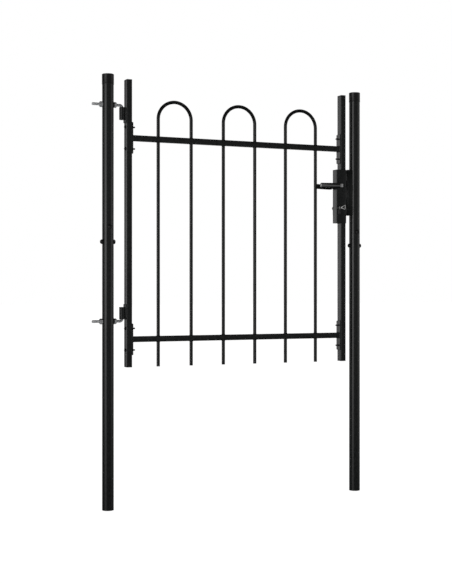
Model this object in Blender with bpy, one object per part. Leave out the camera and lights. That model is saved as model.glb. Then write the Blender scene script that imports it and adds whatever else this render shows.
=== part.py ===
"""Garden gate: a hooped steel leaf hung between two round posts, with a lever lock.

Units are metres. +Z is up, +X runs from the hinge post to the latch post and -Y is the front,
the side that the leaf swings to. The origin lies midway between the two post feet.
"""
from math import asin, cos, pi, radians, sin

import bmesh
import bpy
from mathutils import Vector

MM = 0.001
GAP = 0.3 * MM                    # running and seating clearance between touching pieces
BACK = Vector((0, 1, 0))          # direction from the front of the gate to its back

# Posts
POST_SPACING = 973 * MM
POST_HEIGHT = 1500 * MM
POST_RADIUS = 20 * MM
POST_WALL = 1.5 * MM
HINGE_POST_X = -POST_SPACING / 2
LATCH_POST_X = POST_SPACING / 2
POST_JOINT_Z = 948.5 * MM         # where the upper tube stands on the lower one
SLEEVE_LENGTH = 130 * MM
JOINT_BOLT_OFFSET = 25.5 * MM     # each cross bolt's distance from the joint
JOINT_BOLT_RADIUS = 3 * MM
POST_SIDES = 32
CAP_HEIGHT = 35 * MM
CAP_RADIUS = 21 * MM
CAP_ROOF = 2.5 * MM

# Leaf
LEAF_BOTTOM = 489 * MM
LEAF_TOP = 1486 * MM
STILE_WIDTH = 20 * MM
STILE_DEPTH = 30 * MM
STILE_WALL = 1.5 * MM
HINGE_STILE_X = HINGE_POST_X + 73.2 * MM
LATCH_STILE_X = LATCH_POST_X - 55.9 * MM
LEAF_CENTRE_X = (HINGE_STILE_X + LATCH_STILE_X) / 2
PLUG_FLANGE = 4.7 * MM
RAIL_SIZE = 20 * MM
RAIL_WALL = 1.5 * MM
RAIL_HEIGHTS = {"lower": 586 * MM, "upper": 1284 * MM}
PLATE_THICKNESS = 4 * MM
PLATE_LENGTH = 109 * MM
PLATE_WIDTH = 28 * MM
RAIL_BOLT_OFFSET = 37.5 * MM
RAIL_BOLT_RADIUS = 3 * MM
RAIL_BOLT_PROUD = 10.5 * MM
BAR_RADIUS = 6 * MM
BAR_PITCH = 124.4 * MM
HOOP_SPRING_Z = 1355.7 * MM       # where the straight bars turn into the hoops' arcs

# Hinges: threaded L-bolts through the hinge post, whose pins stand in barrels on the leaf
HINGE_AXIS_X = HINGE_POST_X + 51 * MM
ROD_RADIUS = 4.8 * MM
ROD_TAIL_X = HINGE_POST_X - 57 * MM
ROD_BEND_RADIUS = 6 * MM
ROD_HEIGHTS = {"lower": 649 * MM, "upper": 1395 * MM}
BARREL_SPANS = {"lower": (655.5 * MM, 698 * MM), "upper": (1345.5 * MM, 1388.6 * MM)}
BARREL_RADIUS = 10 * MM
BARREL_PLATE_THICKNESS = 3 * MM
BARREL_PLATE_WIDTH = 26 * MM
BARREL_PLATE_TAIL = 10 * MM       # how far the plate runs past the barrel's closed side
HINGE_NUT_FLATS = 17 * MM
OUTER_NUT_HEIGHT = 9.5 * MM
INNER_NUT_HEIGHT = 8 * MM
SADDLE_RADIUS = 11 * MM
SADDLE_FACE_X = HINGE_POST_X + 21.5 * MM

# Lock
CASE_LEFT_X = HINGE_POST_X + 888 * MM
CASE_WIDTH = 41 * MM
CASE_DEPTH = 32 * MM
CASE_WALL = 1.0 * MM
CASE_BOTTOM = 1006 * MM
CASE_TOP = 1206 * MM
SPINDLE_X = CASE_LEFT_X + 9.5 * MM
SPINDLE_Z = 1144 * MM
SPINDLE_SIZE = 7 * MM
SPINDLE_LENGTH = 64 * MM
LEVER_Y = 44 * MM                 # grip's distance from the leaf's middle plane, at its elbow
LEVER_TIP_Y = 23 * MM             # and at its tip, which leans in towards the leaf
LEVER_LENGTH = 83 * MM
LEVER_HEIGHT = 17 * MM
LEVER_THICKNESS = 9 * MM
HUB_RADIUS = 7.5 * MM
HUB_END_RADIUS = 6.2 * MM
ARM_REACH = 17 * MM
ARM_WIDTH = 5 * MM
ARM_ANGLE = radians(45)           # the arm leans this far towards the latch at rest
LATCH_Z = 1155 * MM
LATCH_HEIGHT = 16 * MM
LATCH_WIDTH = 12 * MM
LATCH_TIP_X = CASE_LEFT_X + 46.5 * MM
CYLINDER_Z = 1062.5 * MM
CYLINDER_RADIUS = 8 * MM
CYLINDER_STEM_HALF = 5 * MM
CYLINDER_HALF_LENGTH = 24 * MM
CYLINDER_DROP = 24 * MM           # how far the profile's stem reaches below the axis
PLUG_RADIUS = 5.5 * MM
CAM_REACH = 11 * MM
CAM_ANGLE = radians(-20)          # the cam leans this far away from the strike at rest
DEAD_BOLT_HEIGHT = 20 * MM
DEAD_BOLT_WIDTH = 10 * MM
DEAD_BOLT_BOTTOM = CYLINDER_Z + 8.8 * MM
KEY_THICKNESS = 2 * MM
KEY_BLADE_HEIGHT = 8 * MM

# Strike on the latch post
STRIKE_FACE_X = CASE_LEFT_X + 48 * MM
STRIKE_BACK_X = LATCH_POST_X - 17 * MM
STRIKE_WIDTH = 27 * MM
STRIKE_SHEET = 2 * MM
STRIKE_BOTTOM = 1036 * MM
STRIKE_TOP = 1207 * MM
STRIKE_SCREW_HEIGHTS = {"lower": 1050 * MM, "upper": 1193 * MM}
STRIKE_SCREW_RADIUS = 2 * MM

ALONG_Z = (0, 0, 0)
ALONG_X = (0, pi / 2, 0)          # turns a shape that was made along +Z towards +X
AGAINST_X = (0, -pi / 2, 0)
ALONG_Y = (-pi / 2, 0, 0)
AGAINST_Y = (pi / 2, 0, 0)


def clear_scene():
    for thing in list(bpy.data.objects):
        bpy.data.objects.remove(thing, do_unlink=True)


def finish(name, colour, roughness, metallic):
    made = bpy.data.materials.new(name)
    made.use_nodes = True
    shader = made.node_tree.nodes["Principled BSDF"]
    shader.inputs["Base Color"].default_value = (*colour, 1)
    shader.inputs["Roughness"].default_value = roughness
    shader.inputs["Metallic"].default_value = metallic
    return made


# Outlines in the XY plane and meshes that stand on them

def circle(radius, sides=32):
    return [(radius * cos(2 * pi * i / sides), radius * sin(2 * pi * i / sides)) for i in range(sides)]


def hexagon(across_flats, sides):
    """A hexagon with as many points as a circle of the same number of sides."""
    points = []
    for i in range(sides):
        angle = 2 * pi * i / sides
        reach = across_flats / 2 / cos(angle % (pi / 3) - pi / 6)
        points.append((reach * cos(angle), reach * sin(angle)))
    return points


def rounded_rectangle(width, depth, corner, steps=2):
    points = []
    for quarter in range(4):
        middle_x = (width / 2 - corner) * (1 if quarter in (0, 3) else -1)
        middle_y = (depth / 2 - corner) * (1 if quarter in (0, 1) else -1)
        for i in range(steps + 1):
            angle = pi / 2 * (quarter + i / steps)
            points.append((middle_x + corner * cos(angle), middle_y + corner * sin(angle)))
    return points


def shifted(outline, x, y):
    return [(point_x + x, point_y + y) for point_x, point_y in outline]


def skin(name, levels, closed=False):
    """Joins outlines, each given as (outline, height), into one shape.

    An open skin is capped at both ends, and a closed one runs back to its first outline.
    """
    mesh = bpy.data.meshes.new(name)
    shape = bmesh.new()
    rings = [[shape.verts.new((x, y, height)) for x, y in outline] for outline, height in levels]
    pairs = list(zip(rings, rings[1:]))
    if closed:
        pairs.append((rings[-1], rings[0]))
    else:
        shape.faces.new(rings[0])
        shape.faces.new(rings[-1])
    for lower, upper in pairs:
        for i in range(len(lower)):
            j = (i + 1) % len(lower)
            shape.faces.new((lower[i], lower[j], upper[j], upper[i]))
    bmesh.ops.recalc_face_normals(shape, faces=shape.faces)
    shape.to_mesh(mesh)
    shape.free()
    mesh.shade_smooth()
    mesh.set_sharp_from_angle(angle=radians(35))
    return mesh


def prism(name, outline, low, high):
    return skin(name, [(outline, low), (outline, high)])


def tube(name, outer, inner, low, high):
    return skin(name, [(outer, low), (outer, high), (inner, high), (inner, low)], closed=True)


def turned(name, profile, sides=24):
    """A solid of revolution from (radius, height) pairs that run from one end to the other."""
    return skin(name, [(circle(radius, sides), height) for radius, height in profile])


def dome(radius, height, base, steps=3):
    """Profile of a domed head from its small crown down to the flat at height base."""
    profile = []
    for i in range(steps + 1):
        angle = radians(12) + (pi / 2 - radians(12)) * i / steps
        profile.append((radius * sin(angle), base - height * cos(angle)))
    return profile


def lock_profile(radius, stem_half, drop, steps=18):
    """A circle with a flat-sided stem towards +Y, the section of a profile cylinder."""
    first = pi / 2 - asin(stem_half / radius)
    sweep = 2 * pi - 2 * asin(stem_half / radius)
    points = [(stem_half, drop)]
    for i in range(steps + 1):
        angle = first - sweep * i / steps
        points.append((radius * cos(angle), radius * sin(angle)))
    points.append((-stem_half, drop))
    return points


def rectangle(low_x, high_x, low_y, high_y):
    return [(low_x, low_y), (high_x, low_y), (high_x, high_y), (low_x, high_y)]


# Objects

def place(name, shape, material, location, turn=ALONG_Z, parent=None):
    made = bpy.data.objects.new(name, shape)
    bpy.context.scene.collection.objects.link(made)
    shape.materials.append(material)
    made.rotation_euler = turn
    hang_on(made, location, parent)
    return made


def hang_on(made, location, parent):
    """Puts an object at a world location under an unrotated parent."""
    made.location = location
    if parent:
        made.parent = parent
        made.location = Vector(location) - world_location(parent)


def world_location(thing):
    place_now = thing.location.copy()
    if thing.parent:
        place_now += world_location(thing.parent)
    return place_now


def axis_empty(name, location, parent=None):
    made = bpy.data.objects.new(name, None)
    made.empty_display_size = 0.05
    bpy.context.scene.collection.objects.link(made)
    hang_on(made, location, parent)
    return made


def tool(target, shape, location, turn, operation):
    """A hidden shape that cuts its target or is welded to it."""
    helper = bpy.data.objects.new(f"{target.name}_{operation.lower()}_{len(target.modifiers)}", shape)
    bpy.context.scene.collection.objects.link(helper)
    helper.rotation_euler = turn
    hang_on(helper, location, target.parent)
    helper.hide_render = True
    helper.display_type = "WIRE"
    step = target.modifiers.new(helper.name, "BOOLEAN")
    step.operation = operation
    step.object = helper
    step.solver = "EXACT"


def cut(target, shape, location=(0, 0, 0), turn=ALONG_Z):
    tool(target, shape, location, turn, "DIFFERENCE")


def weld(target, shape, location=(0, 0, 0), turn=ALONG_Z):
    tool(target, shape, location, turn, "UNION")


def drill(target, radius, length, location, turn, sides=12):
    """Cuts a round hole of the given length, centred on a world location."""
    cut(target, prism("drill", circle(radius, sides), -length / 2, length / 2), location, turn)


def wire(name, path, radius, material, rounding, parent=None):
    """A round rod or wire that follows a path of world points."""
    origin = world_location(parent) if parent else Vector((0, 0, 0))
    curve = bpy.data.curves.new(name, "CURVE")
    curve.dimensions = "3D"
    curve.bevel_depth = radius
    curve.bevel_resolution = rounding
    curve.use_fill_caps = True
    spline = curve.splines.new("POLY")
    spline.points.add(len(path) - 1)
    for point, spot in zip(spline.points, path):
        point.co = (*(Vector(spot) - origin), 1)
    return place(name, curve, material, origin, parent=parent)


def arc(centre, radius, first, last, steps):
    """World points on an arc in the XZ plane, at angles measured from +X towards +Z."""
    points = []
    for i in range(steps + 1):
        angle = first + (last - first) * i / steps
        points.append(Vector((centre[0] + radius * cos(angle), 0, centre[1] + radius * sin(angle))))
    return points


# Fasteners

def domed_bolt(name, material, seat, turn, radius, length, head_radius, head_height, parent=None):
    """A bolt whose domed head sits at a world point and whose shank runs along the turned +Z."""
    profile = dome(head_radius, head_height, 0)
    profile += [(radius, 0), (radius, length)]
    return place(name, turned(name, profile, 12), material, seat, turn, parent)


def hex_nut(name, material, seat, turn, bore, flats, height):
    shape = tube(name, hexagon(flats, 12), circle(bore, 12), 0, height)
    return place(name, shape, material, seat, turn)


# Posts

def build_post(post, x, steel, plastic, dark_steel):
    inner = POST_RADIUS - POST_WALL
    spans = {
        "lower_tube": (0, POST_JOINT_Z - GAP / 2),
        "upper_tube": (POST_JOINT_Z + GAP / 2, POST_HEIGHT - CAP_ROOF - GAP),
    }
    bolts = {
        "lower": (POST_JOINT_Z - JOINT_BOLT_OFFSET, ALONG_X, Vector((-1, 0, 0))),
        "upper": (POST_JOINT_Z + JOINT_BOLT_OFFSET, ALONG_Y, -BACK),
    }
    tubes = {}
    for part, (low, high) in spans.items():
        name = f"{post}_{part}"
        shape = tube(name, circle(POST_RADIUS, POST_SIDES), circle(inner, POST_SIDES), low, high)
        tubes[part] = place(name, shape, steel, (x, 0, 0))
    sleeve_outer = inner - GAP
    shape = tube("sleeve", circle(sleeve_outer, 24), circle(sleeve_outer - POST_WALL, 24),
                 -SLEEVE_LENGTH / 2, SLEEVE_LENGTH / 2)
    sleeve = place(f"{post}_sleeve", shape, dark_steel, (x, 0, POST_JOINT_Z))

    grip = 2 * (POST_RADIUS + GAP)
    nut_height = 5 * MM
    for level, (z, turn, outward) in bolts.items():
        for holed in (tubes[f"{level}_tube"], sleeve):
            drill(holed, JOINT_BOLT_RADIUS + GAP, 3 * POST_RADIUS, (x, 0, z), turn)
        middle = Vector((x, 0, z))
        domed_bolt(f"{post}_{level}_bolt", dark_steel, middle + outward * grip / 2, turn,
                   JOINT_BOLT_RADIUS, grip + nut_height + 0.6 * MM, 8 * MM, 8.5 * MM)
        hex_nut(f"{post}_{level}_nut", dark_steel, middle - outward * grip / 2, turn,
                JOINT_BOLT_RADIUS + GAP, 14 * MM, nut_height)

    build_cap(f"{post}_cap", x, plastic)
    return tubes


def build_cap(name, x, plastic):
    """A slip-on cap with a softened top edge, open below."""
    edge = 1.5 * MM
    profile = [
        (CAP_RADIUS, 0),
        (CAP_RADIUS, CAP_HEIGHT - edge),
        (CAP_RADIUS - 0.4 * edge, CAP_HEIGHT - 0.4 * edge),
        (CAP_RADIUS - edge, CAP_HEIGHT),
    ]
    foot = (x, 0, POST_HEIGHT - CAP_HEIGHT)
    cap = place(name, turned(name, profile, POST_SIDES), plastic, foot)
    bore = circle(POST_RADIUS + GAP, POST_SIDES)
    cut(cap, prism("cap_room", bore, -CAP_HEIGHT, CAP_HEIGHT - CAP_ROOF), foot)


# Hinges

def build_hinge(level, tubes, leaf, steel, plastic, zinc):
    rod_z = ROD_HEIGHTS[level]
    pin_side = 1 if level == "lower" else -1
    low, high = BARREL_SPANS[level]
    far_end = high if level == "lower" else low

    pin_end = far_end - pin_side * 2 * MM
    corner = (HINGE_AXIS_X - ROD_BEND_RADIUS, rod_z + pin_side * ROD_BEND_RADIUS)
    path = [(ROD_TAIL_X, 0, rod_z)]
    path += arc(corner, ROD_BEND_RADIUS, -pin_side * pi / 2, 0, 6)
    path.append((HINGE_AXIS_X, 0, pin_end))
    wire(f"{level}_hinge_bolt", path, ROD_RADIUS, zinc, 6)

    bore = ROD_RADIUS + GAP
    outer_seat = (HINGE_POST_X - POST_RADIUS - GAP, 0, rod_z)
    inner_seat = (SADDLE_FACE_X + GAP, 0, rod_z)
    hex_nut(f"{level}_hinge_outer_nut", zinc, outer_seat, AGAINST_X, bore, HINGE_NUT_FLATS,
            OUTER_NUT_HEIGHT)
    hex_nut(f"{level}_hinge_inner_nut", zinc, inner_seat, ALONG_X, bore, HINGE_NUT_FLATS,
            INNER_NUT_HEIGHT)
    drill(tubes["lower_tube" if level == "lower" else "upper_tube"], bore, 3 * POST_RADIUS,
          (HINGE_POST_X, 0, rod_z), ALONG_X, 16)
    build_saddle(level, rod_z, plastic)
    build_barrel(level, low, high, pin_side, leaf, steel)


def build_saddle(level, rod_z, plastic):
    """A spacer whose back is hollowed to fit round the post."""
    length = 10 * MM
    shape = tube("saddle", circle(SADDLE_RADIUS, 20), circle(ROD_RADIUS + GAP, 20), -length, 0)
    saddle = place(f"{level}_hinge_spacer", shape, plastic, (SADDLE_FACE_X, 0, rod_z), ALONG_X)
    post = prism("post_room", circle(POST_RADIUS + GAP, POST_SIDES), -2 * SADDLE_RADIUS, 2 * SADDLE_RADIUS)
    cut(saddle, post, (HINGE_POST_X, 0, rod_z))


def build_barrel(level, low, high, pin_side, leaf, steel):
    """A barrel with the plate that it is welded to, which lies on the stile."""
    shape = tube("barrel", circle(BARREL_RADIUS, 24), circle(ROD_RADIUS + GAP, 24), low, high)
    barrel = place(f"{level}_hinge_barrel", shape, steel, (HINGE_AXIS_X, 0, 0), parent=leaf)
    plate_low = low - (BARREL_PLATE_TAIL if pin_side < 0 else 0)
    plate_high = high + (BARREL_PLATE_TAIL if pin_side > 0 else 0)
    stile_face = HINGE_STILE_X - STILE_WIDTH / 2 - GAP
    plate = prism("barrel_plate", rectangle(stile_face - BARREL_PLATE_THICKNESS, stile_face,
                                            -BARREL_PLATE_WIDTH / 2, BARREL_PLATE_WIDTH / 2),
                  plate_low, plate_high)
    weld(barrel, plate)


# Leaf

def build_stile(name, x, low, high, leaf, steel):
    outer = rounded_rectangle(STILE_WIDTH, STILE_DEPTH, 2 * MM)
    inner = rounded_rectangle(STILE_WIDTH - 2 * STILE_WALL, STILE_DEPTH - 2 * STILE_WALL, 0.8 * MM)
    stile = place(name, tube(name, outer, inner, low, high), steel, (x, 0, 0), parent=leaf)
    for rail_z in RAIL_HEIGHTS.values():
        for z in (rail_z - RAIL_BOLT_OFFSET, rail_z + RAIL_BOLT_OFFSET):
            if low < z < high:
                drill(stile, RAIL_BOLT_RADIUS + GAP, 2 * STILE_WIDTH, (x, 0, z), ALONG_X)


def build_stile_plug(name, x, end_z, inward, leaf, plastic):
    """A plug whose flange covers the stile's end and whose spigot stands inside the tube."""
    room = 2 * (STILE_WALL + GAP)
    spigot = rounded_rectangle(STILE_WIDTH - room, STILE_DEPTH - room, 0.8 * MM)
    flange = rounded_rectangle(STILE_WIDTH, STILE_DEPTH, 2 * MM)
    crown = rounded_rectangle(STILE_WIDTH - 2 * MM, STILE_DEPTH - 2 * MM, 1.5 * MM)
    levels = [
        (crown, 0),
        (flange, 1 * MM),
        (flange, PLUG_FLANGE),
        (spigot, PLUG_FLANGE),
        (spigot, PLUG_FLANGE + 14 * MM),
    ]
    shape = skin(name, [(outline, inward * height) for outline, height in levels])
    place(name, shape, plastic, (x, 0, end_z), parent=leaf)


def build_rail(level, leaf, steel):
    """A square tube with a drilled plate welded across each end."""
    z = RAIL_HEIGHTS[level]
    plate_outer = {
        -1: HINGE_STILE_X + STILE_WIDTH / 2 + GAP,
        1: LATCH_STILE_X - STILE_WIDTH / 2 - GAP,
    }
    bite = 1 * MM
    low = plate_outer[-1] + PLATE_THICKNESS - bite
    high = plate_outer[1] - PLATE_THICKNESS + bite
    outer = rounded_rectangle(RAIL_SIZE, RAIL_SIZE, 2 * MM)
    inner = rounded_rectangle(RAIL_SIZE - 2 * RAIL_WALL, RAIL_SIZE - 2 * RAIL_WALL, 0.8 * MM)
    rail = place(f"{level}_rail", tube("rail", outer, inner, low, high), steel, (0, 0, z), ALONG_X,
                 leaf)
    outline = rounded_rectangle(PLATE_LENGTH, PLATE_WIDTH, 3 * MM)
    for side, face in plate_outer.items():
        near, far = sorted((face, face - side * PLATE_THICKNESS))
        weld(rail, prism("end_plate", outline, near, far), (0, 0, z), ALONG_X)
    for x in bar_positions():
        drill(rail, BAR_RADIUS + 2 * GAP, 2 * RAIL_SIZE, (x, 0, z), ALONG_Z)
    for face in plate_outer.values():
        for offset in (-RAIL_BOLT_OFFSET, RAIL_BOLT_OFFSET):
            drill(rail, RAIL_BOLT_RADIUS + GAP, 4 * PLATE_THICKNESS, (face, 0, z + offset), ALONG_X)


def bar_positions():
    return [LEAF_CENTRE_X + BAR_PITCH * (i - 2.5) for i in range(6)]


def build_hoops(leaf, steel):
    """Three hoops, each one bar bent over at its top, which pass through both rails."""
    bars = bar_positions()
    for number, left in enumerate(bars[::2], start=1):
        right = left + BAR_PITCH
        path = [(left, 0, LEAF_BOTTOM)]
        path += arc((left + BAR_PITCH / 2, HOOP_SPRING_Z), BAR_PITCH / 2, pi, 0, 16)
        path.append((right, 0, LEAF_BOTTOM))
        wire(f"hoop_{number}", path, BAR_RADIUS, steel, 4, leaf)


def build_rail_bolts(leaf, dark_steel):
    """Bolts through the stiles into the threaded end plates of the rails."""
    length = STILE_WIDTH + 2 * GAP + PLATE_THICKNESS + RAIL_BOLT_PROUD
    sides = {
        "hinge": (HINGE_STILE_X - STILE_WIDTH / 2 - GAP, ALONG_X),
        "latch": (LATCH_STILE_X + STILE_WIDTH / 2 + GAP, AGAINST_X),
    }
    for side, (seat_x, turn) in sides.items():
        for level, rail_z in RAIL_HEIGHTS.items():
            for place_word, sign in (("under", -1), ("over", 1)):
                seat = (seat_x, 0, rail_z + sign * RAIL_BOLT_OFFSET)
                domed_bolt(f"{side}_side_bolt_{place_word}_{level}_rail", dark_steel, seat, turn,
                           RAIL_BOLT_RADIUS, length, 6 * MM, 4.5 * MM, leaf)


# Lock: every mesh is made around the lock's own axes and placed by its world location

def build_case(leaf, steel):
    outer = rounded_rectangle(CASE_WIDTH, CASE_DEPTH, 1.5 * MM)
    middle_x = CASE_LEFT_X + CASE_WIDTH / 2
    case = place("lock_case", prism("case", outer, CASE_BOTTOM, CASE_TOP), steel, (middle_x, 0, 0),
                 parent=leaf)
    room = 2 * CASE_WALL
    hollow = rounded_rectangle(CASE_WIDTH - room, CASE_DEPTH - room, 0.5 * MM)
    cut(case, prism("case_room", hollow, CASE_BOTTOM + CASE_WALL, CASE_TOP - CASE_WALL),
        (middle_x, 0, 0))
    drill(case, HUB_END_RADIUS + GAP, 2 * CASE_DEPTH, (SPINDLE_X, 0, SPINDLE_Z), ALONG_Y, 20)
    profile = lock_profile(CYLINDER_RADIUS + GAP, CYLINDER_STEM_HALF + GAP, CYLINDER_DROP + GAP)
    cut(case, prism("cylinder_room", profile, -CASE_DEPTH, CASE_DEPTH), (SPINDLE_X, 0, CYLINDER_Z),
        ALONG_Y)

    right_x = CASE_LEFT_X + CASE_WIDTH
    latch_slot = rectangle(-5 * MM, 5 * MM, -LATCH_WIDTH / 2 - GAP, LATCH_WIDTH / 2 + GAP)
    cut(case, prism("latch_slot", latch_slot, -LATCH_HEIGHT / 2 - GAP, LATCH_HEIGHT / 2 + GAP),
        (right_x, 0, LATCH_Z))
    bolt_slot = rectangle(-5 * MM, 5 * MM, -DEAD_BOLT_WIDTH / 2 - GAP, DEAD_BOLT_WIDTH / 2 + GAP)
    cut(case, prism("dead_bolt_slot", bolt_slot, -GAP, DEAD_BOLT_HEIGHT + GAP),
        (right_x, 0, DEAD_BOLT_BOTTOM))


def build_follower(lever_axis, steel):
    """The hub that the spindle turns; its arm draws the latch bolt back."""
    half_middle = 4 * MM
    half_length = CASE_DEPTH / 2 - GAP
    profile = [
        (HUB_END_RADIUS, -half_length),
        (HUB_END_RADIUS, -half_middle),
        (HUB_RADIUS, -half_middle),
        (HUB_RADIUS, half_middle),
        (HUB_END_RADIUS, half_middle),
        (HUB_END_RADIUS, half_length),
    ]
    where = (SPINDLE_X, 0, SPINDLE_Z)
    follower = place("follower", turned("follower", profile, 24), steel, where, ALONG_Y, lever_axis)
    arm = rectangle(-ARM_WIDTH / 2, ARM_WIDTH / 2, -3 * MM, 3 * MM)
    weld(follower, prism("arm", arm, 4.5 * MM, ARM_REACH), where, (0, ARM_ANGLE, 0))
    half = SPINDLE_SIZE / 2 + GAP
    square = rectangle(-half, half, -half, half)
    cut(follower, prism("square_hole", square, -CASE_DEPTH, CASE_DEPTH), where, ALONG_Y)


def build_spindle(lever_axis, steel):
    half = SPINDLE_SIZE / 2
    shape = prism("spindle", rectangle(-half, half, -half, half), -SPINDLE_LENGTH / 2,
                  SPINDLE_LENGTH / 2)
    place("spindle", shape, steel, (SPINDLE_X, 0, SPINDLE_Z), ALONG_Y, lever_axis)


def build_lever(name, side, lever_axis, alloy):
    """A collar and neck on the spindle, and a grip that leans in towards the leaf."""
    turn = ALONG_Y if side > 0 else AGAINST_Y
    seat_y = CASE_DEPTH / 2 + GAP
    neck_top = LEVER_Y - seat_y
    profile = [
        (9 * MM, 0),
        (9 * MM, 3 * MM),
        (6 * MM, 4.5 * MM),
        (6 * MM, neck_top),
    ]
    seat = (SPINDLE_X, side * seat_y, SPINDLE_Z)
    lever = place(name, turned(name, profile), alloy, seat, turn, lever_axis)
    grip = rounded_rectangle(LEVER_HEIGHT, LEVER_THICKNESS, 4 * MM)
    tip = rounded_rectangle(LEVER_HEIGHT - 5 * MM, LEVER_THICKNESS - 4 * MM, 2 * MM)
    lean = side * (LEVER_TIP_Y - LEVER_Y)
    levels = [(shifted(tip, 0, lean), -LEVER_LENGTH)]
    for share in (0.95, 0.8, 0.6, 0.4, 0.2, 0.05):
        levels.append((shifted(grip, 0, lean * share ** 1.2), -LEVER_LENGTH * share))
    levels.append((grip, 4 * MM))
    levels.append((tip, 7.5 * MM))
    weld(lever, skin("grip", levels), (SPINDLE_X, side * LEVER_Y, SPINDLE_Z), ALONG_X)
    half = SPINDLE_SIZE / 2 + GAP
    socket_depth = SPINDLE_LENGTH / 2 - seat_y + 1 * MM
    socket = prism("socket", rectangle(-half, half, -half, half), -1 * MM, socket_depth)
    cut(lever, socket, seat, turn)


def build_follower_spring(leaf, spring_steel):
    """A torsion spring round the follower's rear end, with two legs that hang from its turns."""
    radius = HUB_END_RADIUS + 0.9 * MM
    start_y = 5.4 * MM
    pitch = 1.6 * MM
    turns = 3.5
    steps = 42
    leg = 11 * MM
    path = [(SPINDLE_X + radius, start_y, SPINDLE_Z - leg)]
    for i in range(steps + 1):
        angle = 2 * pi * turns * i / steps
        path.append((SPINDLE_X + radius * cos(angle), start_y + pitch * turns * i / steps,
                     SPINDLE_Z + radius * sin(angle)))
    path.append((SPINDLE_X - radius, start_y + pitch * turns, SPINDLE_Z - leg))
    wire("follower_spring", path, 0.5 * MM, spring_steel, 1, leaf)


def build_latch_bolt(latch_slide, steel):
    """A bevelled head on a yoke that reaches round the follower's arm."""
    head_back = CASE_LEFT_X + 27 * MM
    head_length = LATCH_TIP_X - head_back
    half = LATCH_WIDTH / 2
    outline = [
        (0, -half),
        (head_length, -half),
        (head_length, -half + 4 * MM),
        (head_length - 4.5 * MM, half),
        (0, half),
    ]
    where = (head_back, 0, LATCH_Z)
    shape = prism("latch", outline, -LATCH_HEIGHT / 2, LATCH_HEIGHT / 2)
    latch = place("latch_bolt", shape, steel, where, parent=latch_slide)

    yoke_low = HUB_RADIUS + 1 * MM + SPINDLE_Z - LATCH_Z
    yoke_high = LATCH_HEIGHT / 2 - 2.5 * MM
    bar_right = SPINDLE_X + 5.8 * MM - head_back
    bar_left = bar_right - 4 * MM
    for side in (-1, 1):
        near, far = sorted((side * 3.5 * MM, side * half))
        cheek = rectangle(bar_left + 0.5 * MM, 1 * MM, near, far)
        weld(latch, prism("cheek", cheek, yoke_low, yoke_high), where)
    cross = rectangle(bar_left, bar_right, -half + 0.2 * MM, half - 0.2 * MM)
    weld(latch, prism("cross_bar", cross, yoke_low + 1.5 * MM, yoke_high - 0.2 * MM), where)


def build_dead_bolt(bolt_slide, steel):
    """A square bolt whose lower edge is notched for the cylinder's cam."""
    left_x = SPINDLE_X - 8.1 * MM
    length = CASE_LEFT_X + CASE_WIDTH - 0.5 * MM - left_x
    half = DEAD_BOLT_WIDTH / 2
    where = (left_x, 0, DEAD_BOLT_BOTTOM)
    shape = prism("dead_bolt", rectangle(0, length, -half, half), 0, DEAD_BOLT_HEIGHT)
    bolt = place("dead_bolt", shape, steel, where, parent=bolt_slide)
    notch = rectangle(2 * MM, 7.9 * MM, -2 * half, 2 * half)
    cut(bolt, prism("notch", notch, -1 * MM, 2.8 * MM), where)


def build_cylinder(leaf, dark_steel):
    """A profile cylinder: a round barrel on a flat stem, slotted where its cam turns."""
    where = (SPINDLE_X, 0, CYLINDER_Z)
    profile = lock_profile(CYLINDER_RADIUS, CYLINDER_STEM_HALF, CYLINDER_DROP)
    shape = prism("cylinder", profile, -CYLINDER_HALF_LENGTH, CYLINDER_HALF_LENGTH)
    body = place("lock_cylinder", shape, dark_steel, where, ALONG_Y, leaf)
    bore_end = 4.5 * MM
    bore = prism("bore", circle(PLUG_RADIUS + GAP, 24), -2 * CYLINDER_HALF_LENGTH, bore_end)
    cut(body, bore, where, ALONG_Y)
    cam_room = prism("cam_room", circle(CAM_REACH + 2 * MM), -4 * MM, 4 * MM)
    cut(body, cam_room, where, ALONG_Y)


def build_plug(key_axis, brass):
    """The part of the cylinder that the key turns, with the cam that drives the dead bolt."""
    where = (SPINDLE_X, 0, CYLINDER_Z)
    front = -CYLINDER_HALF_LENGTH
    plug = place("cylinder_plug", prism("plug", circle(PLUG_RADIUS, 24), front, 4 * MM), brass, where,
                 ALONG_Y, key_axis)
    cam = rectangle(-2 * MM, 2 * MM, -3.5 * MM, 3.5 * MM)
    weld(plug, prism("cam", cam, 2 * MM, CAM_REACH), where, (0, CAM_ANGLE, 0))
    half_width = KEY_THICKNESS / 2 + GAP
    half_height = KEY_BLADE_HEIGHT / 2 + GAP
    keyway = rectangle(-half_width, half_width, front - 1 * MM, front + 18 * MM)
    cut(plug, prism("keyway", keyway, -half_height, half_height), where)


def build_key(key_axis, nickel):
    """A flat key: blade, neck and a bow that widens outwards, with a hole through it."""
    blade = KEY_BLADE_HEIGHT / 2
    tip_y = -CYLINDER_HALF_LENGTH + 16 * MM
    outline = [
        (blade - 2 * MM, tip_y),
        (blade, tip_y - 3 * MM),
        (blade, -39 * MM),
        (9 * MM, -61.5 * MM),
        (9 * MM, -63 * MM),
        (7.5 * MM, -64.5 * MM),
    ]
    outline += [(-x, y) for x, y in reversed(outline)]
    where = (SPINDLE_X, 0, CYLINDER_Z)
    shape = prism("key", outline, -KEY_THICKNESS / 2, KEY_THICKNESS / 2)
    key = place("key", shape, nickel, where, (0, pi / 2, 0), key_axis)
    window = [
        (1.2 * MM, -43.5 * MM),
        (7 * MM, -61.5 * MM),
        (-7 * MM, -61.5 * MM),
        (-1.2 * MM, -43.5 * MM),
    ]
    cut(key, prism("bow_window", window, -5 * MM, 5 * MM), where, (0, pi / 2, 0))


# Strike

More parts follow.
